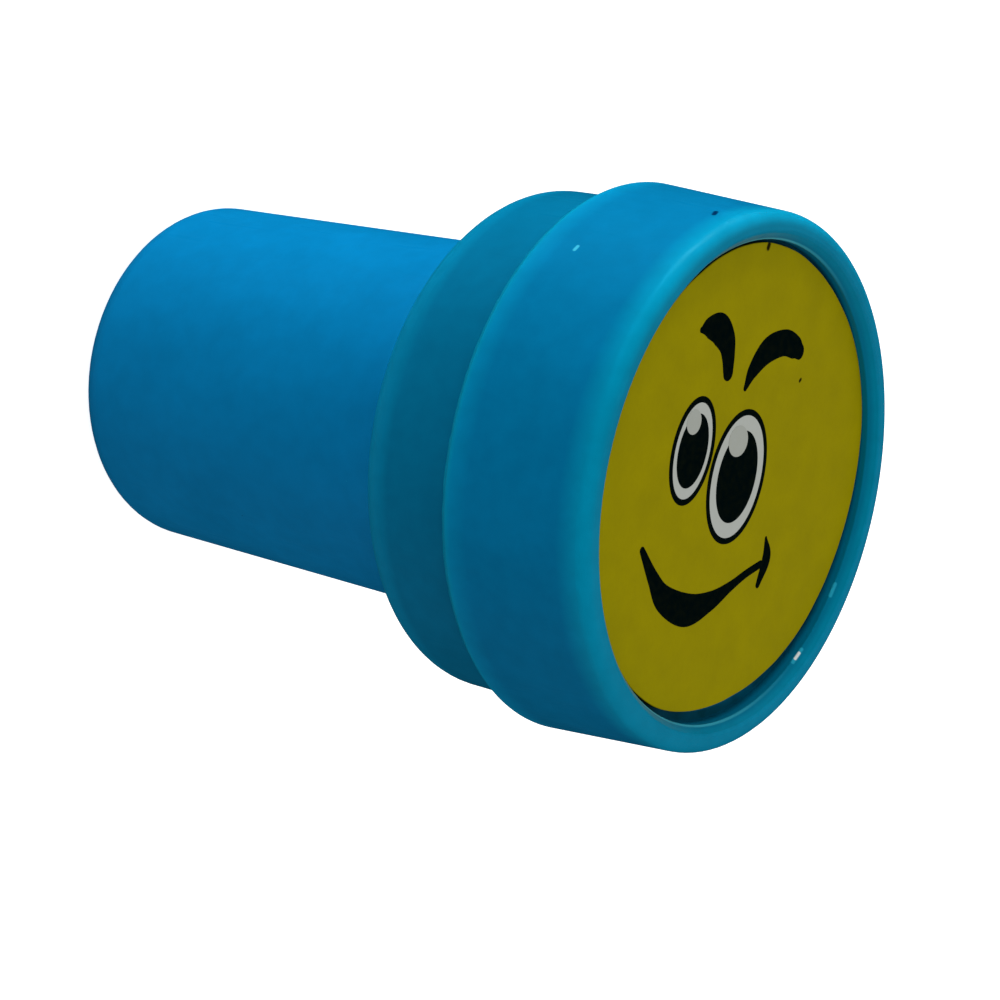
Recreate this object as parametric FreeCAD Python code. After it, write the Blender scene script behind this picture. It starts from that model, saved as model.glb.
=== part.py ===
"""Pre-inked hand stamp with a push-on cap: a hollow handle, a sealed ink cartridge with its
stamping die, and a cap that carries a round picture label.

Frame: +Z is the stamp's axis, pointing from the closed end of the handle to the label.
The origin is the centre of the handle's closed end, on which the stamp stands.
The label's picture has its right side towards +X and its top towards +Y. Units are millimetres.
"""

import os
from math import sin, tan

import FreeCAD
import Part

# Driving dimensions.
OVERALL_HEIGHT = 49.0
CAP_FRONT_R = 17.4  # cap radius at the label end
CAP_MOUTH_R = 18.2  # cap radius at its open end, wider for mould draft
CAP_HEIGHT = 10.5
LABEL_R = 15.1
GRIP_END_R = 12.3  # grip radius at the closed end
GRIP_ROOT_R = 12.65  # grip radius where it meets the collar
COLLAR_R = 16.9
COLLAR_HEIGHT = 7.85
WALL = 1.45  # moulded wall of the handle

# Handle.
SHOULDER_Z = OVERALL_HEIGHT - CAP_HEIGHT  # top of the collar, where the cap stops
COLLAR_BACK_Z = SHOULDER_Z - COLLAR_HEIGHT
GRIP_END_ROUND = 2.1
GRIP_ROOT_ROUND = 0.35
BORE_END_ROUND = 0.8
COLLAR_BACK_ROUND = 1.9
COLLAR_EDGE_ROUND = 0.2
GATE_DIMPLE_R = 1.5
GATE_DIMPLE_DEPTH = 0.3
LEDGE_Z = COLLAR_BACK_Z + WALL  # inner ledge that the cartridge stands on

# Spigot: the sleeve above the collar that the cap pushes onto.
SPIGOT_ROOT_R = 16.3
SPIGOT_TIP_R = 16.1
SPIGOT_BORE_R = 14.8
SPIGOT_HEIGHT = 5.9
SPIGOT_TIP_ROUND = 0.4
SPIGOT_TOP_Z = SHOULDER_Z + SPIGOT_HEIGHT

# Cap.
CAP_GAP = 0.15  # parting line between the collar and the cap
CAP_FIT = 0.05  # radial clearance on the spigot
CAP_BORE_LEAD_IN = 0.3
CAP_FRONT_ROUND = 0.9
CAP_MOUTH_ROUND = 0.35
CAP_BORE_ROUND = 0.5
RECESS_R = 15.6
RECESS_DEPTH = 1.55
RIM_BEVEL_DEPTH = 0.65  # bevel from the rim's crest down to the recess wall
RIM_BEVEL_TOP_R = 16.15
RIM_CREST_ROUND = 0.3
RIM_EDGE_ROUND = 0.15
CAP_PLATE = 1.4
CAP_MOUTH_Z = SHOULDER_Z + CAP_GAP
RECESS_FLOOR_Z = OVERALL_HEIGHT - RECESS_DEPTH
PLATE_BACK_Z = RECESS_FLOOR_Z - CAP_PLATE
SEAL_LIP_R = 14.65  # ring under the plate that closes the spigot's bore
SEAL_LIP_WALL = 0.8
SEAL_LIP_TIP_ROUND = 0.25
SEAL_LIP_OVERLAP = 0.55  # how far the lip reaches into the spigot

# Label: a printed card disc stuck in the recess, slightly off its centre.
LABEL_THICKNESS = 0.5
LABEL_OFFSET_X = 0.2
LABEL_OFFSET_Y = 0.35

# Ink cartridge, from its floor up.
CUP_R = 14.65
CUP_WALL = 1.0
CUP_BOTTOM_ROUND = 0.6
SPONGE_SIDE_GAP = 0.2
SPONGE_THICKNESS = 6.5
SPONGE_ROUND = 0.5
FELT_SIDE_GAP = 0.4
FELT_THICKNESS = 1.0
DIE_FLANGE_R = 13.3
DIE_FLANGE_THICKNESS = 2.0
DIE_PAD_R = 12.3
DIE_PAD_THICKNESS = 1.7
DIE_RELIEF = 1.0
DIE_STEP_ROUND = 0.3
RING_GAP = 0.1  # free play between the ring's lip and the die's flange
RING_LIP_THICKNESS = 1.0
RING_BORE_R = 12.6
RING_ROUND = 0.25
CUP_BORE_R = CUP_R - CUP_WALL
CUP_FLOOR_Z = LEDGE_Z + CUP_WALL
FELT_Z = CUP_FLOOR_Z + SPONGE_THICKNESS
DIE_Z = FELT_Z + FELT_THICKNESS
DIE_STEP_Z = DIE_Z + DIE_FLANGE_THICKNESS
RING_LIP_Z = DIE_STEP_Z + RING_GAP
RING_TOP_Z = RING_LIP_Z + RING_LIP_THICKNESS
DIE_PAD_Z = DIE_STEP_Z + DIE_PAD_THICKNESS

# Picture on the die: a plain smiling face. Its lengths are shares of the picture's radius, its
# places are (across, up) from the middle, and it is cut mirrored so that it prints the right way.
PICTURE_MARGIN = 0.6
PICTURE_R = DIE_PAD_R - PICTURE_MARGIN
OUTLINE_WIDTH = 0.07
EYE_LINE_WIDTH = 0.05
EYE_TILT = -8.0  # degrees anticlockwise
SMALL_EYE = {"at": (-0.40, 0.14), "half_width": 0.15, "half_height": 0.23}
LARGE_EYE = {"at": (-0.01, 0.03), "half_width": 0.21, "half_height": 0.29}
PUPIL_SHARE = 0.58  # pupil size as a share of its eye
LEFT_BROW = {"path": ((-0.47, 0.60), (-0.33, 0.69), (-0.23, 0.45)), "widths": (0.13, 0.11, 0.03)}
RIGHT_BROW = {"path": ((-0.07, 0.41), (0.10, 0.62), (0.36, 0.58)), "widths": (0.03, 0.11, 0.13)}
SMILE = {"path": ((-0.65, -0.28), (-0.24, -0.53), (0.32, -0.34)), "widths": (0.03, 0.17, 0.04)}
CHEEK = {"path": ((0.32, -0.23), (0.34, -0.34), (0.29, -0.45)), "widths": (0.03, 0.06, 0.03)}

MERGE = 0.05  # how far the raised picture runs into the pad under it
SAME_POINT = 1e-6  # points nearer than this are one point


def vector(r, z):
    """A point of the half section, at radius r and height z."""
    return FreeCAD.Vector(r, 0, z)


def rounded_outline(corners):
    """A closed wire in the XZ plane through (r, z, rounding radius) corners."""
    ends = []
    for i, (r, z, rounding) in enumerate(corners):
        here = vector(r, z)
        if not rounding:
            ends.append((here, None, here))
            continue
        before = vector(*corners[i - 1][:2])
        after = vector(*corners[(i + 1) % len(corners)][:2])
        back = (before - here).normalize()
        ahead = (after - here).normalize()
        half_angle = back.getAngle(ahead) / 2
        reach = rounding / tan(half_angle)
        bisector = (back + ahead).normalize()
        centre = here + bisector * (rounding / sin(half_angle))
        middle = centre - bisector * rounding
        ends.append((here + back * reach, middle, here + ahead * reach))
    edges = []
    for i, (start, middle, stop) in enumerate(ends):
        if middle is not None:
            edges.append(Part.Arc(start, middle, stop).toShape())
        following = ends[(i + 1) % len(ends)][0]
        if stop.distanceToPoint(following) > SAME_POINT:
            edges.append(Part.LineSegment(stop, following).toShape())
    return Part.Wire(edges)


def turned(corners):
    """The solid that a half section makes when it is turned round the Z axis."""
    section = Part.Face(rounded_outline(corners))
    solid = section.revolve(FreeCAD.Vector(0, 0, 0), FreeCAD.Vector(0, 0, 1), 360)
    return solid if isinstance(solid, Part.Solid) else Part.Solid(solid)


def make_handle():
    """Grip, collar and spigot in one moulding, open at the top."""
    bore_end_r = GRIP_END_R - WALL
    bore_root_r = GRIP_ROOT_R - WALL
    return turned([
        (0, GATE_DIMPLE_DEPTH, 0),
        (GATE_DIMPLE_R, GATE_DIMPLE_DEPTH, 0),
        (GATE_DIMPLE_R, 0, 0),
        (GRIP_END_R, 0, GRIP_END_ROUND),
        (GRIP_ROOT_R, COLLAR_BACK_Z, GRIP_ROOT_ROUND),
        (COLLAR_R, COLLAR_BACK_Z, COLLAR_BACK_ROUND),
        (COLLAR_R, SHOULDER_Z, COLLAR_EDGE_ROUND),
        (SPIGOT_ROOT_R, SHOULDER_Z, 0),
        (SPIGOT_TIP_R, SPIGOT_TOP_Z, SPIGOT_TIP_ROUND),
        (SPIGOT_BORE_R, SPIGOT_TOP_Z, SPIGOT_TIP_ROUND),
        (SPIGOT_BORE_R, LEDGE_Z, 0),
        (bore_root_r, LEDGE_Z, 0),
        (bore_end_r, WALL, BORE_END_ROUND),
        (0, WALL, 0),
    ])


def make_cap():
    """Push-on cap: tapered side wall, plate with a raised bevelled rim, seal lip inside."""
    bore_root_r = SPIGOT_ROOT_R + CAP_FIT
    bore_tip_r = SPIGOT_TIP_R + CAP_FIT
    lip_inner_r = SEAL_LIP_R - SEAL_LIP_WALL
    lip_tip_z = SPIGOT_TOP_Z - SEAL_LIP_OVERLAP
    return turned([
        (0, RECESS_FLOOR_Z, 0),
        (RECESS_R, RECESS_FLOOR_Z, 0),
        (RECESS_R, OVERALL_HEIGHT - RIM_BEVEL_DEPTH, RIM_EDGE_ROUND),
        (RIM_BEVEL_TOP_R, OVERALL_HEIGHT, RIM_CREST_ROUND),
        (CAP_FRONT_R, OVERALL_HEIGHT, CAP_FRONT_ROUND),
        (CAP_MOUTH_R, CAP_MOUTH_Z, CAP_MOUTH_ROUND),
        (bore_root_r + CAP_BORE_LEAD_IN, CAP_MOUTH_Z, 0),
        (bore_root_r, CAP_MOUTH_Z + CAP_BORE_LEAD_IN, 0),
        (bore_tip_r, PLATE_BACK_Z, CAP_BORE_ROUND),
        (SEAL_LIP_R, PLATE_BACK_Z, 0),
        (SEAL_LIP_R, lip_tip_z, SEAL_LIP_TIP_ROUND),
        (lip_inner_r, lip_tip_z, SEAL_LIP_TIP_ROUND),
        (lip_inner_r, PLATE_BACK_Z, 0),
        (0, PLATE_BACK_Z, 0),
    ])


def make_label():
    """Printed card disc, stuck to the floor of the cap's recess."""
    place = FreeCAD.Vector(LABEL_OFFSET_X, LABEL_OFFSET_Y, RECESS_FLOOR_Z)
    return Part.makeCylinder(LABEL_R, LABEL_THICKNESS, place)


def make_cartridge_cup():
    """Open cup that holds the ink sponge inside the spigot."""
    return turned([
        (0, LEDGE_Z, 0),
        (CUP_R, LEDGE_Z, CUP_BOTTOM_ROUND),
        (CUP_R, RING_LIP_Z, 0),
        (CUP_BORE_R, RING_LIP_Z, 0),
        (CUP_BORE_R, CUP_FLOOR_Z, 0),
        (0, CUP_FLOOR_Z, 0),
    ])


def make_ink_sponge():
    """Foam block that stores the ink and springs the die back after each print."""
    radius = CUP_BORE_R - SPONGE_SIDE_GAP
    return turned([
        (0, CUP_FLOOR_Z, 0),
        (radius, CUP_FLOOR_Z, SPONGE_ROUND),
        (radius, FELT_Z, SPONGE_ROUND),
        (0, FELT_Z, 0),
    ])


def make_ink_felt():
    """Felt disc that spreads the ink evenly under the die."""
    place = FreeCAD.Vector(0, 0, FELT_Z)
    return Part.makeCylinder(CUP_BORE_R - FELT_SIDE_GAP, FELT_THICKNESS, place)


def make_cartridge_ring():
    """Flat ring on the cup's edge whose lip holds the die's flange down."""
    return turned([
        (RING_BORE_R, RING_LIP_Z, 0),
        (CUP_R, RING_LIP_Z, 0),
        (CUP_R, RING_TOP_Z, RING_ROUND),
        (RING_BORE_R, RING_TOP_Z, RING_ROUND),
    ])


def ellipse_face(at, half_width, half_height):
    """A filled ellipse of the picture, as tall as it is or taller than it is wide."""
    middle = FreeCAD.Vector(0, 0, 0)
    up = FreeCAD.Vector(0, half_height * PICTURE_R, 0)
    across = FreeCAD.Vector(-half_width * PICTURE_R, 0, 0)
    face = Part.Face(Part.Wire(Part.Ellipse(up, across, middle).toShape()))
    face.rotate(middle, FreeCAD.Vector(0, 0, 1), EYE_TILT)
    face.translate(FreeCAD.Vector(at[0], at[1], 0) * PICTURE_R)
    return face


def eye_faces(at, half_width, half_height):
    """An eye's outline and its pupil."""
    white = ellipse_face(at, half_width - EYE_LINE_WIDTH, half_height - EYE_LINE_WIDTH)
    outline = ellipse_face(at, half_width, half_height).cut(white)
    pupil = ellipse_face(at, half_width * PUPIL_SHARE, half_height * PUPIL_SHARE)
    return [outline, pupil]


def stroke_face(path, widths):
    """A stroke of changing width along the arc through three points."""
    points = [FreeCAD.Vector(x, y, 0) * PICTURE_R for x, y in path]
    centre = Part.Arc(*points).toShape().Curve.Center
    outer = []
    inner = []
    for point, width in zip(points, widths):
        outward = (point - centre).normalize() * (width * PICTURE_R / 2)
        outer.append(point + outward)
        inner.append(point - outward)
    edges = [
        Part.Arc(*outer).toShape(),
        Part.LineSegment(outer[-1], inner[-1]).toShape(),
        Part.Arc(*reversed(inner)).toShape(),
        Part.LineSegment(inner[0], outer[0]).toShape(),
    ]
    return Part.Face(Part.Wire(edges))


def picture_faces():
    """Every inked area of the picture, as it prints."""
    rim = Part.Face(Part.Wire(Part.makeCircle(PICTURE_R)))
    inside = Part.Face(Part.Wire(Part.makeCircle(PICTURE_R * (1 - OUTLINE_WIDTH))))
    strokes = [stroke_face(**stroke) for stroke in (LEFT_BROW, RIGHT_BROW, SMILE, CHEEK)]
    return [rim.cut(inside)] + eye_faces(**SMALL_EYE) + eye_faces(**LARGE_EYE) + strokes


def make_stamp_die():
    """Porous rubber die: a flange held by the ring, a pad, and the raised mirrored picture."""
    die = turned([
        (0, DIE_Z, 0),
        (DIE_FLANGE_R, DIE_Z, 0),
        (DIE_FLANGE_R, DIE_STEP_Z, DIE_STEP_ROUND),
        (DIE_PAD_R, DIE_STEP_Z, 0),
        (DIE_PAD_R, DIE_PAD_Z, DIE_STEP_ROUND),
        (0, DIE_PAD_Z, 0),
    ])
    raised = []
    for area in picture_faces():
        mirrored = area.mirror(FreeCAD.Vector(0, 0, 0), FreeCAD.Vector(1, 0, 0))
        mirrored.translate(FreeCAD.Vector(0, 0, DIE_PAD_Z - MERGE))
        raised.append(mirrored.extrude(FreeCAD.Vector(0, 0, DIE_RELIEF + MERGE)))
    return die.fuse(raised).removeSplitter()


PARTS = {
    "handle": make_handle,
    "cap": make_cap,
    "label": make_label,
    "cartridge_cup": make_cartridge_cup,
    "ink_sponge": make_ink_sponge,
    "ink_felt": make_ink_felt,
    "stamp_die": make_stamp_die,
    "cartridge_ring": make_cartridge_ring,
}

os.makedirs("parts", exist_ok=True)
for name, make in PARTS.items():
    shape = make()
    shape.exportStep(f"parts/{name}.step")
    print(f"{name}: {len(shape.Solids)} solid, {shape.Volume:.0f} mm3, valid {shape.isValid()}")
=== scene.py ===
"""Looks of a pre-inked hand stamp with a push-on cap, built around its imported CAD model.

Places come from the CAD nodes' boxes. Lengths are metres; MM turns millimetres into them.
The printed face is laid out in millimetres from the cap's axis, with +X to its right and +Y up.
"""

from math import cos, pi, radians, sin

import bmesh
import bpy
from mathutils import Matrix, Vector, noise


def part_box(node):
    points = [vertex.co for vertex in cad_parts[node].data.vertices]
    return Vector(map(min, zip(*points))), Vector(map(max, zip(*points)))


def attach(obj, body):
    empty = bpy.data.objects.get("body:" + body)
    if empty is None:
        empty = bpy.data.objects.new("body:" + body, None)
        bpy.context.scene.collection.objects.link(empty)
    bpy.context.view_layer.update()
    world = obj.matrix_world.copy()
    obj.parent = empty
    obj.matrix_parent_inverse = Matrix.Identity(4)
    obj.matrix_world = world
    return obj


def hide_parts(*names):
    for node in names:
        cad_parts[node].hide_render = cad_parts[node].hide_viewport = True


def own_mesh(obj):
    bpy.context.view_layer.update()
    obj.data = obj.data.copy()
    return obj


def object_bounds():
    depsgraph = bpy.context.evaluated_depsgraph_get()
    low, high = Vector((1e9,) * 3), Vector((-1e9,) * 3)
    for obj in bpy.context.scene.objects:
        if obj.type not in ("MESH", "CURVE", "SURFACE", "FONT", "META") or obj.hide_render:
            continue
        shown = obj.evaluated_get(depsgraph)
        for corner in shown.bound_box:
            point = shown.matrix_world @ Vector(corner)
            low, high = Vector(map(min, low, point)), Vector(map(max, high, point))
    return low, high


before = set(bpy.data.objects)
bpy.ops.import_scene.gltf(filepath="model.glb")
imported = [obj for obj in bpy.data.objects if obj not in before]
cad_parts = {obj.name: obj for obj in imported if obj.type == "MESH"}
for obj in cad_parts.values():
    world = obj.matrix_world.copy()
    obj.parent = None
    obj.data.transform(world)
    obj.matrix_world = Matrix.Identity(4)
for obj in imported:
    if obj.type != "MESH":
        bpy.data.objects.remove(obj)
cad_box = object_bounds()

MM = 0.001
AROUND = 256  # steps round a turned piece

CAP_LOW, CAP_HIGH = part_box("cap")
LABEL_LOW, LABEL_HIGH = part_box("label")
SPONGE_LOW, SPONGE_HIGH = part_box("ink_sponge")
FELT_LOW, FELT_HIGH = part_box("ink_felt")
DIE_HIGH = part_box("stamp_die")[1]
COLLAR_BACK = CAP_LOW.z - 8.0 * MM  # back face of the handle's collar
RECESS_R = 15.6 * MM  # wall of the recess round the label
RECESS_EDGE = CAP_HIGH.z - 0.65 * MM  # top of that wall, where the rim's bevel starts
RUBBER_TOP = DIE_HIGH.z - 1.0 * MM  # face of the die, under its raised picture

# Linear colours.
CAP_BLUE = (0.0, 0.151, 0.323)
CAP_MOUTH_BLUE = (0.0, 0.205, 0.400)
# partly whitened plastic, partly a painted highlight on the cap's rounded lip
CAP_LIP_WHITENING_AND_HIGHLIGHT = (0.0, 0.240, 0.400)
# painted highlight: a broad pale band over the rim's fillet
CAP_RIM_HIGHLIGHT = (0.0, 0.252, 0.425)
# painted shade on the rim's bevel
CAP_BEVEL_SHADE = (0.0, 0.190, 0.340)
# painted highlight along the bevel's inner edge
CAP_EDGE_HIGHLIGHT = (0.05, 0.44, 0.58)
# painted shade in the gap round the label
GAP_SHADE = (0.0, 0.038, 0.055)
HANDLE_BLUE = (0.0, 0.172, 0.400)
# painted highlight on the ridge at the collar's back
COLLAR_RIDGE_HIGHLIGHT = (0.0, 0.245, 0.440)
COLLAR_BLUE = (0.0, 0.133, 0.262)
PLASTIC_GLOSS = (0.05, 0.75, 1.0)
PALE_DUST = (0.03, 0.36, 0.55)
DARK_DUST = (0.0, 0.02, 0.04)
# painted glint on the cap's side
SIDE_GLINT = (0.04, 0.42, 0.60)
DARK_FLECK = (0.0, 0.020, 0.08)
DULL_GLINT = (0.02, 0.40, 0.60)
BRIGHT_GLINT = (0.90, 0.95, 0.95)
LABEL_YELLOW = (0.350, 0.297, 0.0)
LABEL_GLOSS = (1.0, 0.92, 0.15)
# painted shade on the label card's cut side, down in the gap
CUT_SIDE_SHADE = (0.015, 0.035, 0.020)
PRINT_BLACK = (0.0, 0.003, 0.003)
PRINT_WHITE = (0.54, 0.57, 0.53)
PRINT_GREY = (0.46, 0.485, 0.44)
LABEL_SPECK = (0.08, 0.06, 0.0)
LABEL_MARK = (0.02, 0.015, 0.0)
CUP_WHITE = (0.75, 0.75, 0.72)
RING_WHITE = (0.72, 0.72, 0.70)
INK_STAIN = (0.10, 0.12, 0.16)
DARK_RUBBER = (0.17, 0.15, 0.155)
PALE_RUBBER = (0.27, 0.245, 0.25)
INK_SEEP = (0.035, 0.035, 0.05)
WET_INK = (0.004, 0.004, 0.007)
FOAM_GREY = (0.05, 0.05, 0.06)
FELT_GREY = (0.035, 0.035, 0.045)

# How strongly a surface mirrors; 0.5 is ordinary plastic.
PLASTIC_SHEEN = 0.22
PRINT_SHEEN = 0.03

# Camera, held level with the label's picture, so the upright stamp lies across the view.
CAMERA_PLACE = Vector((-132.92, 13.53, 128.55)) * MM
CAMERA_FORWARD = Vector((0.797560, -0.107949, -0.593507))
CAMERA_UP = Vector((-0.003224, 0.983084, -0.183132))
CAMERA_LENS = 88.09
CAMERA_SENSOR = 36.0


# ---------------------------------------------------------------- materials

def material_nodes(name):
    """A new material with its node tree and its Principled shader."""
    material = bpy.data.materials.new(name)
    material.use_nodes = True
    tree = material.node_tree
    return material, tree, tree.nodes["Principled BSDF"]


def add(tree, kind, inputs=None, **settings):
    """A node with its settings, and its inputs linked or set by name or number."""
    node = tree.nodes.new(kind)
    for key, value in settings.items():
        setattr(node, key, value)
    for key, value in (inputs or {}).items():
        if isinstance(value, bpy.types.NodeSocket):
            tree.links.new(value, node.inputs[key])
        else:
            node.inputs[key].default_value = value
    return node


def vector_maths(tree, operation, inputs):
    """Outputs of a vector operation: 0 is its vector, "Value" its number."""
    return add(tree, "ShaderNodeVectorMath", inputs, operation=operation).outputs


def places(tree, stretch=(1, 1, 1)):
    """Coordinates in the row frame, in metres times stretch."""
    source = tree.nodes.new("ShaderNodeTexCoord").outputs["Object"]
    if stretch == (1, 1, 1):
        return source
    return vector_maths(tree, "MULTIPLY", {0: source, 1: stretch})[0]


def place_along(tree, axis):
    """The coordinate along one axis of the row frame, in metres."""
    return add(tree, "ShaderNodeSeparateXYZ", {"Vector": places(tree)}).outputs[axis]


def grain(tree, size, detail=3.0, stretch=(1, 1, 1)):
    """Noise from 0 to 1 whose features are about size metres across."""
    inputs = {"Vector": places(tree, stretch), "Scale": 1 / size, "Detail": detail, "Roughness": 0.55}
    return add(tree, "ShaderNodeTexNoise", inputs).outputs["Fac"]


def spread(tree, value, low, high, to_low=0.0, to_high=1.0):
    """Maps low..high to to_low..to_high, and holds the ends."""
    inputs = {"Value": value, "From Min": low, "From Max": high, "To Min": to_low, "To Max": to_high}
    return add(tree, "ShaderNodeMapRange", inputs).outputs["Result"]


def maths(tree, operation, first, second=0.0):
    """Output of an operation on one or two numbers."""
    return add(tree, "ShaderNodeMath", {0: first, 1: second}, operation=operation).outputs[0]


def mixed(tree, share, first, second, blend="MIX"):
    """Colour mix of two colours or colour sockets."""
    node = tree.nodes.new("ShaderNodeMix")
    node.data_type = "RGBA"
    node.blend_type = blend
    for socket, value in ((node.inputs[0], share), (node.inputs[6], first), (node.inputs[7], second)):
        if isinstance(value, bpy.types.NodeSocket):
            tree.links.new(value, socket)
        elif isinstance(value, tuple):
            socket.default_value = (*value, 1.0)
        else:
            socket.default_value = value
    return node.outputs[2]


def scaled(colour, factor):
    return tuple(channel * factor for channel in colour)


def bumped(tree, shader, layers):
    """Bump from (height socket, depth in metres, strength) layers, one over the other."""
    normal = None
    for height, depth, strength in layers:
        inputs = {"Height": height, "Distance": depth, "Strength": strength}
        if normal is not None:
            inputs["Normal"] = normal
        normal = add(tree, "ShaderNodeBump", inputs).outputs["Normal"]
    tree.links.new(normal, shader.inputs["Normal"])


def specks(tree, cell, size, share):
    """Sparse round specks: 1 inside, 0 outside."""
    inputs = {"Vector": places(tree), "Scale": 1 / cell}
    cells = add(tree, "ShaderNodeTexVoronoi", inputs)
    inside = spread(tree, cells.outputs["Distance"], size / cell, size / cell * 0.6)
    chosen = add(tree, "ShaderNodeSeparateColor", {"Color": cells.outputs["Color"]}).outputs[0]
    picked = maths(tree, "LESS_THAN", chosen, share)
    return maths(tree, "MULTIPLY", inside, picked)


def fleck(tree, start, finish, radius):
    """One small soft-edged fleck that runs from start to finish on the surface."""
    run = finish - start
    offset = vector_maths(tree, "SUBTRACT", {0: places(tree), 1: start})[0]
    run_share = vector_maths(tree, "DOT_PRODUCT", {0: offset, 1: run / run.length_squared})["Value"]
    held_share = spread(tree, run_share, 0.0, 1.0)
    nearest = vector_maths(tree, "SCALE", {0: run, "Scale": held_share})[0]
    away = vector_maths(tree, "DISTANCE", {0: offset, 1: nearest})["Value"]
    return spread(tree, away, radius, radius * 0.5)


def edge_line(tree, radius, height, width, fade):
    """A slightly uneven line along a turned edge: 1 on it, 0 off it.

    fade is None, or the places along X where the line is gone and where it is whole."""
    from_axis = vector_maths(tree, "LENGTH", {0: places(tree, (1, 1, 0))})["Value"]
    outward = maths(tree, "POWER", maths(tree, "SUBTRACT", from_axis, radius), 2.0)
    upward = maths(tree, "POWER", maths(tree, "SUBTRACT", place_along(tree, "Z"), height), 2.0)
    away = maths(tree, "SQRT", maths(tree, "ADD", outward, upward))
    line = spread(tree, away, width, width * 0.4)
    line = maths(tree, "MULTIPLY", line, spread(tree, grain(tree, 2.5 * MM), 0.35, 0.65, 0.75, 1.0))
    if fade:
        line = maths(tree, "MULTIPLY", line, spread(tree, place_along(tree, "X"), *fade))
    return line


def moulded_plastic(name, colour, zones=(), marks=(), edges=()):
    """Satin injection-moulded plastic: cloudy colour, orange peel, hairline scuffs and dust.

    zones are (start, whole, colour) along Z: the colour is absent at start and whole from
    whole on, above it or below it. edges are (radius, height, width, colour, fade) lines.
    marks are (start, finish, radius, colour) flecks, in millimetres."""
    material, tree, shader = material_nodes(name)
    clouds = grain(tree, 9 * MM, 2.0)
    waver = spread(tree, grain(tree, 0.7 * MM), 0.2, 0.8, -0.06 * MM, 0.06 * MM)
    wavy = maths(tree, "ADD", place_along(tree, "Z"), waver)
    base = colour
    for start, whole, zone_colour in zones:
        base = mixed(tree, spread(tree, wavy, start, whole), base, zone_colour)
    tone = spread(tree, clouds, 0.3, 0.7, 0.94, 1.06)
    fine = spread(tree, grain(tree, 1.2 * MM, 4.0), 0.35, 0.75, 0.96, 1.06)
    channels = {channel: maths(tree, "MULTIPLY", tone, fine) for channel in ("Red", "Green", "Blue")}
    shade = add(tree, "ShaderNodeCombineColor", channels).outputs["Color"]
    base = mixed(tree, 1.0, base, shade, "MULTIPLY")
    pale_dust = maths(tree, "MULTIPLY", specks(tree, 2.4 * MM, 0.06 * MM, 0.05), 0.5)
    base = mixed(tree, pale_dust, base, PALE_DUST)
    dark_dust = maths(tree, "MULTIPLY", specks(tree, 3.1 * MM, 0.07 * MM, 0.04), 0.6)
    base = mixed(tree, dark_dust, base, DARK_DUST)
    for radius, height, width, edge_colour, fade in edges:
        base = mixed(tree, edge_line(tree, radius, height, width, fade), base, edge_colour)
    for start, finish, radius, fleck_colour in marks:
        on_surface = fleck(tree, Vector(start) * MM, Vector(finish) * MM, radius * MM)
        base = mixed(tree, on_surface, base, fleck_colour)
    tree.links.new(base, shader.inputs["Base Color"])
    hairlines = spread(tree, grain(tree, 0.5 * MM, 2.0, (1.0, 1.0, 0.06)), 0.62, 0.70)
    scuffs = maths(tree, "MULTIPLY", hairlines, 0.08)
    rough = maths(tree, "ADD", spread(tree, clouds, 0.2, 0.8, 0.30, 0.38), scuffs)
    tree.links.new(rough, shader.inputs["Roughness"])
    bumped(tree, shader, [
        (grain(tree, 1.6 * MM, 2.0), 0.02 * MM, 0.35),
        (grain(tree, 0.22 * MM, 3.0), 0.006 * MM, 0.35),
    ])
    shader.inputs["Specular IOR Level"].default_value = PLASTIC_SHEEN
    shader.inputs["Specular Tint"].default_value = (*PLASTIC_GLOSS, 1.0)
    return material


def paper_fibre(tree):
    return grain(tree, 0.16 * MM, 3.0, (1.0, 0.45, 1.0))


def label_paper(marks):
    """Coated card printed in one flat yellow, with press mottle and printing specks; its cut side is
    painted dark as shade. marks are (start, finish, radius) flecks, in the printed face's millimetres."""
    material, tree, shader = material_nodes("printed_label_paper")
    mottle = grain(tree, 2.5 * MM, 4.0)
    patches = spread(tree, mottle, 0.3, 0.7)
    base = mixed(tree, patches, scaled(LABEL_YELLOW, 0.95), scaled(LABEL_YELLOW, 1.05))
    fibre = paper_fibre(tree)
    base = mixed(tree, spread(tree, fibre, 0.45, 0.75, 0.0, 0.16), base, scaled(LABEL_YELLOW, 0.72))
    dust = maths(tree, "MULTIPLY", specks(tree, 2.8 * MM, 0.07 * MM, 0.05), 0.5)
    base = mixed(tree, dust, base, LABEL_SPECK)
    for (start_x, start_y), (finish_x, finish_y), radius in marks:
        start = Vector((start_x * MM, start_y * MM, LABEL_HIGH.z))
        finish = Vector((finish_x * MM, finish_y * MM, LABEL_HIGH.z))
        base = mixed(tree, fleck(tree, start, finish, radius * MM), base, LABEL_MARK)
    # painted shade: the card's cut side, down in the gap, is darkened
    cut_side_shade = spread(tree, place_along(tree, "Z"), LABEL_HIGH.z - 0.02 * MM, LABEL_HIGH.z - 0.06 * MM)
    base = mixed(tree, cut_side_shade, base, CUT_SIDE_SHADE)
    tree.links.new(base, shader.inputs["Base Color"])
    tree.links.new(spread(tree, mottle, 0.2, 0.8, 0.48, 0.6), shader.inputs["Roughness"])
    bumped(tree, shader, [(fibre, 0.006 * MM, 0.4), (grain(tree, 4 * MM, 1.0), 0.03 * MM, 0.3)])
    shader.inputs["Specular IOR Level"].default_value = PRINT_SHEEN
    shader.inputs["Specular Tint"].default_value = (*LABEL_GLOSS, 1.0)
    return material


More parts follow.
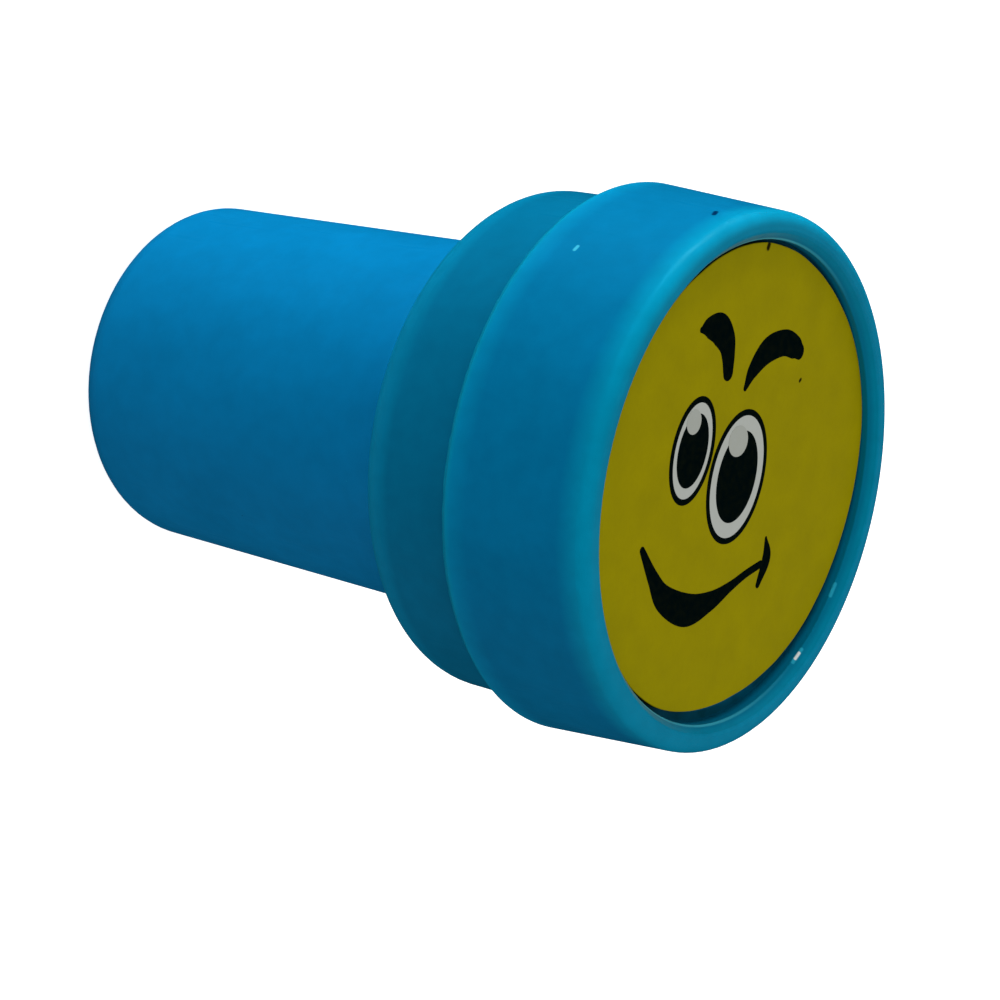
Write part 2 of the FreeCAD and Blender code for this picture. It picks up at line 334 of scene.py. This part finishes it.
def printing_ink(name, colour, paper_show):
    """Ink on the label: the colour with a little of the paper's mottle showing through."""
    material, tree, shader = material_nodes(name)
    mottle = grain(tree, 0.5 * MM, 4.0)
    base = mixed(tree, spread(tree, mottle, 0.4, 0.8, 0.0, paper_show), colour, LABEL_YELLOW)
    tree.links.new(base, shader.inputs["Base Color"])
    tree.links.new(spread(tree, mottle, 0.2, 0.8, 0.42, 0.56), shader.inputs["Roughness"])
    bumped(tree, shader, [(paper_fibre(tree), 0.006 * MM, 0.4)])
    shader.inputs["Specular IOR Level"].default_value = PRINT_SHEEN
    return material


def cartridge_plastic(name, colour):
    """Milky unpigmented plastic, stained with ink in places."""
    material, tree, shader = material_nodes(name)
    clouds = grain(tree, 3 * MM, 3.0)
    base = mixed(tree, spread(tree, clouds, 0.3, 0.7), scaled(colour, 0.9), colour)
    stain = spread(tree, grain(tree, 2.2 * MM, 5.0), 0.60, 0.68, 0.0, 0.55)
    base = mixed(tree, stain, base, INK_STAIN)
    tree.links.new(base, shader.inputs["Base Color"])
    tree.links.new(spread(tree, clouds, 0.2, 0.8, 0.35, 0.5), shader.inputs["Roughness"])
    bumped(tree, shader, [(grain(tree, 0.4 * MM), 0.01 * MM, 0.4)])
    shader.inputs["Subsurface Weight"].default_value = 0.15
    shader.inputs["Subsurface Radius"].default_value = (1.0, 1.0, 1.0)
    shader.inputs["Subsurface Scale"].default_value = 0.8 * MM
    return material


def inked_rubber():
    """Grey porous rubber whose raised picture is wet with black ink."""
    material, tree, shader = material_nodes("inked_die_rubber")
    pores = grain(tree, 0.25 * MM, 4.0)
    rubber = mixed(tree, spread(tree, pores, 0.35, 0.65), DARK_RUBBER, PALE_RUBBER)
    seep = spread(tree, grain(tree, 1.4 * MM, 5.0), 0.42, 0.66, 0.0, 0.75)
    rubber = mixed(tree, seep, rubber, INK_SEEP)
    waver = maths(tree, "MULTIPLY", grain(tree, 0.5 * MM), 0.25 * MM)
    ragged = maths(tree, "ADD", place_along(tree, "Z"), waver)
    wet = spread(tree, ragged, RUBBER_TOP + 0.62 * MM, RUBBER_TOP + 0.82 * MM)
    tree.links.new(mixed(tree, wet, rubber, WET_INK), shader.inputs["Base Color"])
    tree.links.new(spread(tree, wet, 0.0, 1.0, 0.62, 0.16), shader.inputs["Roughness"])
    bumped(tree, shader, [(pores, 0.03 * MM, 0.5), (grain(tree, 1.1 * MM), 0.02 * MM, 0.3)])
    return material


def soaked_foam(name, colour, pore, depth):
    """Open-cell foam or felt, dark with ink and glistening in its pores."""
    material, tree, shader = material_nodes(name)
    cells = add(tree, "ShaderNodeTexVoronoi", {"Vector": places(tree), "Scale": 1 / pore})
    walls = spread(tree, cells.outputs["Distance"], 0.1, 0.7)
    base = mixed(tree, walls, scaled(colour, 0.35), scaled(colour, 1.3))
    base = mixed(tree, spread(tree, grain(tree, 3 * MM), 0.35, 0.7, 0.0, 0.5), base, scaled(colour, 0.6))
    tree.links.new(base, shader.inputs["Base Color"])
    tree.links.new(spread(tree, walls, 0.0, 1.0, 0.35, 0.9), shader.inputs["Roughness"])
    bumped(tree, shader, [(walls, depth, 0.8), (grain(tree, pore / 3), depth / 2, 0.5)])
    return material


def studio_floor():
    """White acrylic, lit from below like a light table."""
    material, tree, shader = material_nodes("studio_floor")
    tone = spread(tree, grain(tree, 60 * MM), 0.3, 0.7)
    base = mixed(tree, tone, (0.90, 0.90, 0.90), (0.93, 0.93, 0.93))
    tree.links.new(base, shader.inputs["Base Color"])
    shader.inputs["Roughness"].default_value = 0.9
    shader.inputs["Specular IOR Level"].default_value = 0.1
    shader.inputs["Emission Color"].default_value = (1.0, 1.0, 1.0, 1.0)
    shader.inputs["Emission Strength"].default_value = 0.8
    return material


# ---------------------------------------------------------------- mesh helpers

def finished(name, mesh_builder, material, body, smooth=False):
    """Turns a bmesh into a piece that rides on a body."""
    bmesh.ops.recalc_face_normals(mesh_builder, faces=mesh_builder.faces)
    mesh = bpy.data.meshes.new(name)
    mesh_builder.to_mesh(mesh)
    mesh_builder.free()
    mesh.materials.append(material)
    for face in mesh.polygons:
        face.use_smooth = smooth
    piece = bpy.data.objects.new(name, mesh)
    bpy.context.scene.collection.objects.link(piece)
    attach(piece, body)
    return piece


def turned(profile, shift=None):
    """A closed surface from (radius, height) points turned round the Z axis.

    The first and last points are on the axis. shift(angle, radius, height) returns the
    point's uneven radius and height."""
    builder = bmesh.new()
    rings = []
    for radius, height in profile:
        if radius == 0:
            rings.append([builder.verts.new((0, 0, height))])
            continue
        ring = []
        for step in range(AROUND):
            angle = 2 * pi * step / AROUND
            r, z = shift(angle, radius, height) if shift else (radius, height)
            ring.append(builder.verts.new((r * cos(angle), r * sin(angle), z)))
        rings.append(ring)
    for lower, upper in zip(rings, rings[1:]):
        for step in range(AROUND):
            after = (step + 1) % AROUND
            corners = [lower[step % len(lower)], lower[after % len(lower)],
                       upper[after % len(upper)], upper[step % len(upper)]]
            distinct = [v for i, v in enumerate(corners) if v not in corners[:i]]
            builder.faces.new(distinct)
    return builder


def ellipse(at, half_width, half_height, tilt=0.0, count=128):
    """Points of an ellipse, anticlockwise, in the label's millimetres."""
    lean = Matrix.Rotation(radians(tilt), 2)
    points = []
    for step in range(count):
        angle = 2 * pi * step / count
        points.append(Vector(at) + lean @ Vector((half_width * cos(angle), half_height * sin(angle))))
    return points


def along(stations, steps=12):
    """A smooth curve through (x, y, width) stations."""
    inner = [Vector(station) for station in stations]
    points = [2 * inner[0] - inner[1], *inner, 2 * inner[-1] - inner[-2]]
    curve = []
    for a, b, c, d in zip(points, points[1:], points[2:], points[3:]):
        for step in range(steps):
            t = step / steps
            straight = (c - a) * t + (2 * a - 5 * b + 4 * c - d) * t * t
            curve.append(b + 0.5 * (straight + (3 * b - a - 3 * c + d) * t ** 3))
    return [*curve, inner[-1]]


def stroke(stations, end_steps=8):
    """Outline of a brush stroke with round ends, anticlockwise, in the label's millimetres."""
    curve = along(stations)
    left, right = [], []
    for i, point in enumerate(curve):
        ahead = (curve[min(i + 1, len(curve) - 1)] - curve[max(i - 1, 0)]).xy.normalized()
        side = Vector((-ahead.y, ahead.x)) * point.z / 2
        left.append(point.xy + side)
        right.append(point.xy - side)

    def round_end(centre, first):
        spoke = first - centre
        return [centre + Matrix.Rotation(pi * k / end_steps, 2) @ spoke for k in range(1, end_steps)]

    finish_end = round_end(curve[-1].xy, right[-1])
    start_end = round_end(curve[0].xy, left[0])
    return right + finish_end + left[::-1] + start_end


def print_area(builder, outline, low, high, hole=None):
    """Adds a thin closed solid with that outline, in metres, with an optional hole of as many points."""
    def verts(points, z):
        return [builder.verts.new((p.x * MM, p.y * MM, z)) for p in points]

    top, bottom = verts(outline, high), verts(outline, low)
    loops = [(top, bottom)]
    if hole:
        loops.append((verts(hole, high), verts(hole, low)))
    else:
        builder.faces.new(top)
        builder.faces.new(bottom)
    for upper, lower in loops:
        for i in range(len(upper)):
            j = (i + 1) % len(upper)
            builder.faces.new((upper[i], lower[i], lower[j], upper[j]))
    if hole:
        for side in (0, 1):
            outer, inner = loops[0][side], loops[1][side]
            for i in range(len(outer)):
                j = (i + 1) % len(outer)
                builder.faces.new((outer[i], outer[j], inner[j], inner[i]))


# ---------------------------------------------------------------- label and its printed face

# Printed face, in millimetres. Strokes are (x, y, width) stations.
EYE_TILT = -8.0
EYE_LINE = 0.40
PUPIL_SHARE = 0.685
GLINT_AT = (-0.16, 0.52)  # from the eye's middle, in its half width and half height
GLINT_SIZE = (0.335, 0.23)  # in the eye's half width and half height
EYES = {
    "left": {"at": (-5.73, 2.0), "half_width": 2.35, "half_height": 3.45},
    "right": {"at": (-0.1, 0.45), "half_width": 3.30, "half_height": 4.38},
}
STROKES = {
    "left_brow": [(-6.85, 9.45, 0.4), (-6.1, 9.65, 1.35), (-4.85, 9.62, 2.05), (-3.85, 8.95, 1.85),
                  (-3.38, 8.05, 1.45), (-3.1, 7.0, 1.1)],
    "right_brow": [(-0.8, 6.1, 0.4), (-0.2, 7.3, 1.2), (1.15, 8.6, 1.8), (3.05, 9.2, 1.75),
                   (4.45, 9.0, 1.55), (5.1, 8.75, 1.1)],
    "smile": [(-9.6, -4.2, 0.5), (-7.95, -5.95, 1.05), (-6.35, -7.3, 1.75), (-3.5, -8.1, 2.15),
              (-0.9, -7.6, 1.4), (1.2, -6.7, 0.75), (2.9, -5.9, 0.58), (4.5, -5.3, 0.55)],
    "cheek": [(4.7, -3.55, 0.25), (5.15, -4.9, 1.0), (4.6, -6.65, 0.5)],
}
LABEL_WAVES = [  # how the card's cut wanders: waves round it, millimetres, start
    (1, 0.14, -2.05),
    (2, 0.22, 0.7),
    (3, 0.07, 1.8),
    (5, 0.10, -0.7),
]
LABEL_BULGE = 0.24  # mm, where the label was cut widest
LABEL_BULGE_AT = radians(240)
LABEL_REACH = RECESS_R - 0.05 * MM  # how far the label's edge may come from the cap's axis
INK = 0.012 * MM  # thickness of one printed layer


def make_label(paper):
    """The printed card disc, cut a little unevenly, with a softly crushed edge."""
    centre = (LABEL_LOW + LABEL_HIGH) / 2
    radius = (LABEL_HIGH.x - LABEL_LOW.x) / 2
    crush = 0.03 * MM

    def uneven(angle, r, z):
        wander = sum(size * sin(waves * angle + start) for waves, size, start in LABEL_WAVES)
        wander += LABEL_BULGE * max(0.0, cos(angle - LABEL_BULGE_AT)) ** 6
        nicks = 0.03 * noise.noise(Vector((9 * cos(angle), 9 * sin(angle), 3.7)))
        return r + (wander + nicks) * MM * (r / radius) ** 4, z

    low, high = LABEL_LOW.z, LABEL_HIGH.z
    profile = [
        (0, low), (radius * 0.5, low), (radius - crush, low), (radius, low + crush),
        (radius, high - crush), (radius - crush, high),
        (radius * 0.97, high), (radius * 0.8, high), (radius * 0.4, high), (0, high),
    ]
    builder = turned(profile, uneven)
    bmesh.ops.translate(builder, vec=(centre.x, centre.y, 0), verts=builder.verts)
    for vert in builder.verts:
        away = vert.co.xy.length
        if away > LABEL_REACH:
            vert.co.xy *= LABEL_REACH / away
    label = finished("label_sheet", builder, paper, "cap_body")
    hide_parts("label")


def print_layer(name, material, areas):
    """One ink layer of the printed face; areas are (outline, hole, low, high)."""
    builder = bmesh.new()
    for outline, hole, low, high in areas:
        print_area(builder, outline, low, high, hole)
    builder.normal_update()
    bmesh.ops.triangulate(builder, faces=[f for f in builder.faces if len(f.verts) > 4])
    finished(name, builder, material, "cap_body")


def make_printed_face():
    """The smiling face, printed in three layers."""
    black = printing_ink("print_black", PRINT_BLACK, 0.015)
    white = printing_ink("print_white", PRINT_WHITE, 0.05)
    grey = printing_ink("print_grey", PRINT_GREY, 0.05)
    paper_top = LABEL_HIGH.z
    outlines, whites, pupils, glints = [], [], [], []
    for eye in EYES.values():
        at, wide, tall = Vector(eye["at"]), eye["half_width"], eye["half_height"]
        outer = ellipse(at, wide, tall, EYE_TILT)
        inner = ellipse(at, wide - EYE_LINE, tall - EYE_LINE, EYE_TILT)
        pupil = ellipse(at, wide * PUPIL_SHARE, tall * PUPIL_SHARE, EYE_TILT)
        glint_at = at + Vector((GLINT_AT[0] * wide, GLINT_AT[1] * tall))
        glint = ellipse(glint_at, wide * GLINT_SIZE[0], tall * GLINT_SIZE[1])
        outlines.append((outer, inner, paper_top, paper_top + INK))
        whites.append((inner, None, paper_top, paper_top + INK))
        pupils.append((pupil, None, paper_top + INK, paper_top + 1.7 * INK))
        glints.append((glint, None, paper_top + INK, paper_top + 2.4 * INK))
    for i, stations in enumerate(STROKES.values()):
        top = paper_top + INK * (1 + 0.05 * i)  # crossing strokes differ in height, so none coincide
        outlines.append((stroke(stations), None, paper_top, top))
    print_layer("print_outlines", black, outlines)
    print_layer("print_eye_whites", white, whites)
    print_layer("print_pupils", black, pupils)
    print_layer("print_glints", grey, glints)


# ---------------------------------------------------------------- soft pieces and small details

def make_sponge():
    """Ink sponge: a cut foam block whose sides draw in slightly between its rounded edges."""
    radius = (SPONGE_HIGH.x - SPONGE_LOW.x) / 2
    low, high = SPONGE_LOW.z, SPONGE_HIGH.z
    edge = 0.5 * MM
    draw_in = 0.18 * MM
    pits = 0.07 * MM
    profile = [(0, low), (radius * 0.3, low), (radius * 0.6, low), (radius * 0.85, low)]
    for step in range(5):
        angle = pi / 2 * step / 4
        profile.append((radius - edge + edge * sin(angle), low + edge - edge * cos(angle)))
    rows = 16
    for step in range(1, rows):
        t = step / rows
        profile.append((radius - draw_in * sin(pi * t), low + edge + (high - low - 2 * edge) * t))
    for step in range(5):
        angle = pi / 2 * step / 4
        profile.append((radius - edge + edge * cos(angle), high - edge + edge * sin(angle)))
    profile += [(radius * 0.85, high), (radius * 0.6, high), (radius * 0.3, high), (0, high)]

    def pitted(angle, r, z):
        dent = noise.noise(Vector((r * cos(angle), r * sin(angle), z)) / (0.9 * MM))
        return r - pits * (0.5 + 0.5 * dent), z

    sponge = finished("sponge_block", turned(profile, pitted),
                      soaked_foam("soaked_foam", FOAM_GREY, 0.45 * MM, 0.12 * MM),
                      "handle_body", smooth=True)
    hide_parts("ink_sponge")
    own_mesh(sponge)


def make_felt():
    """Felt disc: pressed fibre, thinner at its cut edge."""
    radius = (FELT_HIGH.x - FELT_LOW.x) / 2
    low, high = FELT_LOW.z, FELT_HIGH.z
    lint = 0.05 * MM
    edge = 0.2 * MM
    pressed_in = 0.12  # share of the way from the cut edge's faces to their middle

    def fuzzy(angle, r, z):
        place = Vector((r * cos(angle), r * sin(angle), z)) / (0.6 * MM)
        inward = lint * (0.5 + 0.5 * noise.noise(place))
        middle = (low + high) / 2
        share = (r / radius) ** 6
        return r - inward, z + (middle - z) * pressed_in * share

    profile = [
        (0, low), (radius * 0.4, low), (radius * 0.8, low), (radius * 0.95, low),
        (radius, low + edge), (radius, high - edge),
        (radius * 0.95, high), (radius * 0.8, high), (radius * 0.4, high), (0, high),
    ]
    felt = finished("felt_disc", turned(profile, fuzzy),
                    soaked_foam("soaked_felt", FELT_GREY, 0.18 * MM, 0.05 * MM),
                    "die_body", smooth=True)
    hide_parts("ink_felt")


def make_cap_flash(plastic):
    """The ragged fin of plastic that the mould leaves round the cap's open edge."""
    builder = bmesh.new()
    mouth = CAP_LOW.z
    fin_radius = (CAP_HIGH.x - CAP_LOW.x) / 2 - 0.16 * MM
    fin_width = 0.07 * MM
    root = mouth + 0.15 * MM
    rings = []
    for step in range(AROUND * 2):
        angle = pi * step / AROUND
        ragged = noise.noise(Vector((30 * cos(angle), 30 * sin(angle), 0.5)))
        coarse = noise.noise(Vector((4 * cos(angle), 4 * sin(angle), 8.1)))
        tip = mouth - max(0.0, 0.045 + 0.05 * ragged + 0.05 * coarse) * MM
        corners = ((fin_radius, root), (fin_radius - fin_width, root),
                   (fin_radius - fin_width * 0.7, tip), (fin_radius - fin_width * 0.3, tip))
        rings.append([builder.verts.new((r * cos(angle), r * sin(angle), z)) for r, z in corners])
    for here, ahead in zip(rings, rings[1:] + rings[:1]):
        for i in range(4):
            j = (i + 1) % 4
            builder.faces.new((here[i], here[j], ahead[j], ahead[i]))
    flash = finished("cap_mould_flash", builder, plastic, "cap_body", smooth=True)


# ---------------------------------------------------------------- studio

FILL_LEVEL = 0.285
OVERHEAD_LEVEL = 0.553
GLOSS_LEVEL = 0.04
GLOSS_OVERHEAD = 0.12
STRIP_HEIGHT = 0.05
STRIP_LIGHTS = [  # name, place, width in metres, watts
    ("upper_strip", (-0.14, 0.42, 0.025), 0.60, 1.72),
    ("high_strip", (-0.12, 0.40, 0.200), 0.40, 0.26),
    ("back_strip", (0.15, 0.42, 0.025), 0.40, 1.40),
    ("lower_strip", (-0.20, -0.40, 0.020), 0.40, 0.40),
]
GLINT_LIGHTS = [  # as above, seen only in reflections
    ("upper_glint", (-0.069, 0.423, 0.014), 0.10, 0.45),
    ("left_glint", (-0.300, 0.305, 0.045), 0.10, 0.15),
]


def add_camera():
    """The camera, with square pixels and no shift."""
    data = bpy.data.cameras.new("camera")
    data.lens = CAMERA_LENS
    data.sensor_width = CAMERA_SENSOR
    data.clip_start = 0.01
    data.clip_end = 20.0
    camera = bpy.data.objects.new("camera", data)
    right = CAMERA_FORWARD.cross(CAMERA_UP)
    turn = Matrix((right, CAMERA_UP, -CAMERA_FORWARD)).transposed()
    camera.matrix_world = Matrix.Translation(CAMERA_PLACE) @ turn.to_4x4()
    bpy.context.scene.collection.objects.link(camera)
    bpy.context.scene.camera = camera


def add_softbox(name, place, width, height, power):
    """An area light that faces the middle of the stamp, with its height upright."""
    data = bpy.data.lights.new(name, "AREA")
    data.shape = "RECTANGLE"
    data.size = width
    data.size_y = height
    data.energy = power
    lamp = bpy.data.objects.new(name, data)
    lamp.location = place
    centre = Vector((0, 0, (cad_box[0].z + cad_box[1].z) / 2))
    lamp.rotation_euler = (centre - Vector(place)).to_track_quat("-Z", "Y").to_euler()
    lamp.visible_camera = False
    bpy.context.scene.collection.objects.link(lamp)
    return lamp


def add_floor():
    """A floor that shows white and takes shadows, but throws no light back on the stamp."""
    builder = bmesh.new()
    half = 6.0
    below = -0.01 * MM
    builder.faces.new([builder.verts.new((x, y, below))
                       for x, y in ((-half, -half), (half, -half), (half, half), (-half, half))])
    mesh = bpy.data.meshes.new("floor")
    builder.to_mesh(mesh)
    builder.free()
    mesh.materials.append(studio_floor())
    floor = bpy.data.objects.new("floor", mesh)
    floor.visible_diffuse = False
    floor.visible_glossy = False
    bpy.context.scene.collection.objects.link(floor)


def add_world():
    """Soft light from above and all round, dim in reflections; it shows as white."""
    world = bpy.data.worlds.new("studio")
    world.use_nodes = True
    tree = world.node_tree
    direction = tree.nodes.new("ShaderNodeTexCoord").outputs["Generated"]
    upward = add(tree, "ShaderNodeSeparateXYZ", {"Vector": direction}).outputs["Z"]
    ray = tree.nodes.new("ShaderNodeLightPath").outputs
    fill = tree.nodes["Background"]
    fill.inputs["Color"].default_value = (1.0, 1.0, 1.0, 1.0)
    fill_strength = spread(tree, upward, 0.0, 1.0, FILL_LEVEL, FILL_LEVEL + OVERHEAD_LEVEL)
    tree.links.new(fill_strength, fill.inputs["Strength"])
    gloss = add(tree, "ShaderNodeBackground", {"Color": (*PLASTIC_GLOSS, 1.0)})
    gloss_strength = spread(tree, upward, 0.0, 1.0, GLOSS_LEVEL, GLOSS_LEVEL + GLOSS_OVERHEAD)
    tree.links.new(gloss_strength, gloss.inputs["Strength"])
    seen = add(tree, "ShaderNodeBackground", {"Color": (1.0, 1.0, 1.0, 1.0), "Strength": 1.0})
    by_gloss = {0: ray["Is Glossy Ray"], 1: fill.outputs[0], 2: gloss.outputs[0]}
    lit = add(tree, "ShaderNodeMixShader", by_gloss)
    by_camera = {0: ray["Is Camera Ray"], 1: lit.outputs[0], 2: seen.outputs[0]}
    both = add(tree, "ShaderNodeMixShader", by_camera)
    tree.links.new(both.outputs[0], tree.nodes["World Output"].inputs["Surface"])
    bpy.context.scene.world = world


def add_studio():
    add_floor()
    add_world()
    for name, place, width, power in STRIP_LIGHTS:
        add_softbox(name, place, width, STRIP_HEIGHT, power).visible_glossy = False
    for name, place, width, power in GLINT_LIGHTS:
        lamp = add_softbox(name, place, width, STRIP_HEIGHT, power)
        lamp.visible_diffuse = False
        lamp.data.color = PLASTIC_GLOSS
    bpy.context.scene.view_settings.view_transform = "Standard"


# ---------------------------------------------------------------- assembly

def paint(node, material):
    """Gives a CAD node one material and leaves its mesh alone."""
    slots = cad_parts[node].data.materials
    slots.clear()
    slots.append(material)


cap_zones = [  # paler towards the open edge, a thin lip that is partly whitened plastic and partly painted highlight, and a painted highlight over the rim
    (CAP_LOW.z + 1.8 * MM, CAP_LOW.z + 0.5 * MM, CAP_MOUTH_BLUE),
    (CAP_LOW.z + 0.6 * MM, CAP_LOW.z + 0.2 * MM, CAP_LIP_WHITENING_AND_HIGHLIGHT),
    (CAP_HIGH.z - 2.2 * MM, CAP_HIGH.z - 0.5 * MM, CAP_RIM_HIGHLIGHT),
]
collar_zones = [  # a painted highlight on the ridge at the collar's back, then darker up to the cap
    (COLLAR_BACK + 0.05 * MM, COLLAR_BACK + 0.35 * MM, COLLAR_RIDGE_HIGHLIGHT),
    (COLLAR_BACK + 0.5 * MM, COLLAR_BACK + 2.6 * MM, COLLAR_BLUE),
]
cap_edges = [  # painted shade on the rim's bevel and in the gap round the label, and a painted highlight along the bevel's inner edge
    (RECESS_R, RECESS_EDGE, 0.50 * MM, CAP_BEVEL_SHADE, None),
    (RECESS_R - 0.35 * MM, CAP_HIGH.z - 1.45 * MM, 0.60 * MM, GAP_SHADE, None),
    (RECESS_R + 0.06 * MM, RECESS_EDGE + 0.05 * MM, 0.14 * MM, CAP_EDGE_HIGHLIGHT, (10.0 * MM, 1.0 * MM)),
]
cap_marks = [  # on the side wall a painted glint and a dark fleck, and on the rim's inner edge three painted glints
    ((-12.05, 13.33, 41.55), (-12.30, 13.12, 41.53), 0.15, SIDE_GLINT),
    ((-5.55, 16.66, 46.8), (-6.05, 16.48, 47.0), 0.20, DARK_FLECK),
    ((10.05, -12.00, 48.42), (10.95, -11.15, 48.42), 0.18, DULL_GLINT),
    ((10.30, -11.77, 48.42), (10.70, -11.40, 48.42), 0.14, BRIGHT_GLINT),
    ((13.7, -7.55, 48.4), (14.1, -6.75, 48.4), 0.17, DULL_GLINT),
]
label_marks = [  # two printing specks
    ((-0.74, 15.0), (-0.69, 15.2), 0.25),
    ((5.75, 6.85), (5.85, 6.95), 0.15),
]
cap_plastic = moulded_plastic("cap_plastic", CAP_BLUE, cap_zones, cap_marks, cap_edges)
paint("cap", cap_plastic)
paint("handle", moulded_plastic("handle_plastic", HANDLE_BLUE, collar_zones))
paint("cartridge_cup", cartridge_plastic("cup_plastic", CUP_WHITE))
paint("cartridge_ring", cartridge_plastic("ring_plastic", RING_WHITE))
paint("stamp_die", inked_rubber())
make_label(label_paper(label_marks))
make_printed_face()
make_cap_flash(cap_plastic)
make_sponge()
make_felt()
add_camera()
add_studio()
